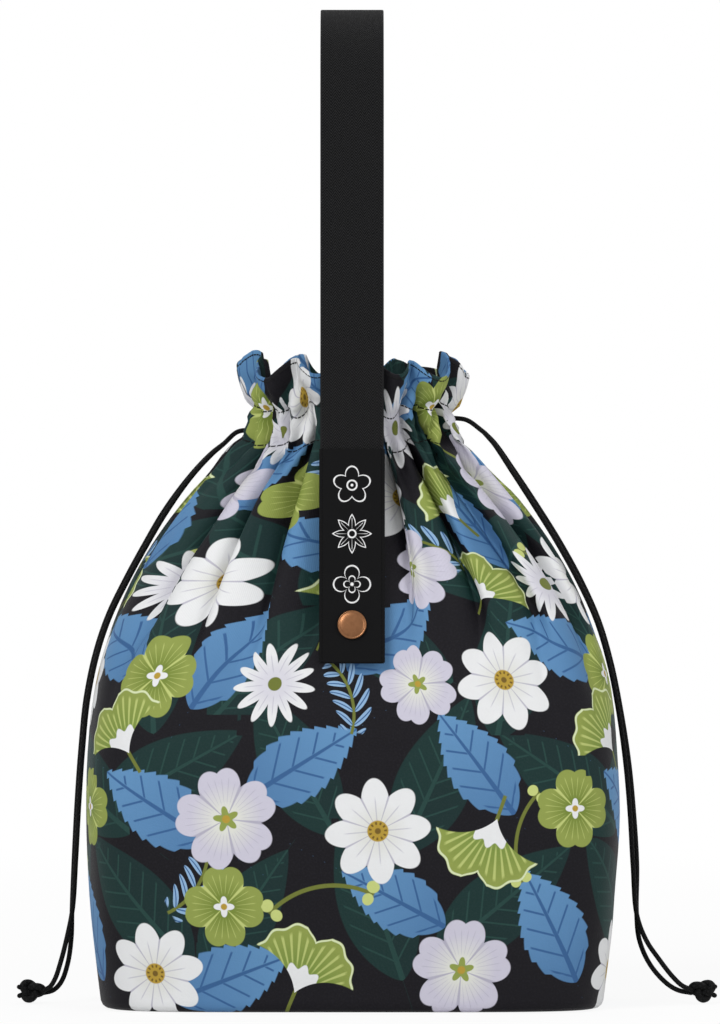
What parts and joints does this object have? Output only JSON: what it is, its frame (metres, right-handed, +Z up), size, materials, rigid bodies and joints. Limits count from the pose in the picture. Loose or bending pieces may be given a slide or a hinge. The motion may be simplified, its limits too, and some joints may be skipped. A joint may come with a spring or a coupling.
{
  "type": "drawstring cooler bag",
  "caption": "Insulated drawstring lunch bag: padded printed-cloth body on a flat base, gathered neck, side drawcords, webbing handle with a snapped front tab.",
  "frame": {"origin": "middle of the flat base, on the ground", "axes": "+Z up, the front with the snapped tab faces -Y, +X to the right seen from the front"},
  "size_m": [0.359, 0.1599, 0.505],
  "materials": {
    "printed_cloth": "oxford weave cloth with a floral print, slight sheen",
    "foam": "closed-cell foam sheet, matt",
    "foil_lining": "silver film lining, soft gloss",
    "board": "plain stiffening board",
    "webbing": "black herringbone webbing",
    "ribbon": "black smooth ribbon",
    "cord": "black braided cord",
    "copper": "antique copper plate, satin"
  },
  "bodies": {
    "bag": {"outer_front_panel": "printed_cloth", "outer_back_panel": "printed_cloth", "outer_base_panel": "printed_cloth", "mouth_facing": "printed_cloth", "foam_right_pad": "foam", "foam_back_pad": "foam", "foam_left_pad": "foam", "foam_front_pad": "foam", "foam_base_pad": "foam", "base_board": "board", "lining_bucket": "foil_lining", "left_drawcord_in_tunnel": "cord", "right_drawcord_in_tunnel": "cord", "strap_back_run": "webbing", "strap_front_run": "webbing", "snap_stud": "copper", "snap_backing": "copper"},
    "handle_back": {"handle_back_leg": "webbing"},
    "handle_top": {"handle_arch": "webbing"},
    "handle_front": {"handle_front_leg": "webbing"},
    "tab": {"strap_tab": "webbing", "tab_patch": "ribbon", "snap_cap": "copper", "snap_socket": "copper"},
    "left_cords": {"left_cord_front_strand": "cord", "left_cord_back_strand": "cord", "left_cord_knot": "cord"},
    "right_cords": {"right_cord_front_strand": "cord", "right_cord_back_strand": "cord", "right_cord_knot": "cord"}
  },
  "joints": [
    {"name": "handle_fold", "type": "hinge", "parent": "bag", "child": "handle_back", "pos_m": [0, 0.0475, 0.338], "axis": [1, 0, 0], "range_deg": [-75, 75]},
    {"name": "handle_top_turn", "type": "hinge", "parent": "handle_back", "child": "handle_top", "pos_m": [0, 0.0475, 0.4568], "axis": [1, 0, 0], "range_deg": [-75, 75]},
    {"name": "handle_front_turn", "type": "hinge", "parent": "handle_top", "child": "handle_front", "pos_m": [0, -0.0475, 0.4568], "axis": [1, 0, 0], "range_deg": [-75, 75]},
    {"name": "tab_lift", "type": "hinge", "parent": "bag", "child": "tab", "pos_m": [0, -0.05723, 0.284], "axis": [-1, 0, 0], "range_deg": [0, 85]},
    {"name": "left_cord_swing", "type": "hinge", "parent": "bag", "child": "left_cords", "pos_m": [-0.0652, 0, 0.2846], "axis": [0, 1, 0], "range_deg": [0, 50]},
    {"name": "right_cord_swing", "type": "hinge", "parent": "bag", "child": "right_cords", "pos_m": [0.0672, 0, 0.2902], "axis": [0, -1, 0], "range_deg": [0, 50]}
  ],
  "couplings": [
    {"joint": "handle_top_turn", "follows": "handle_fold", "ratio": -1},
    {"joint": "handle_front_turn", "follows": "handle_fold", "ratio": 1}
  ]
}
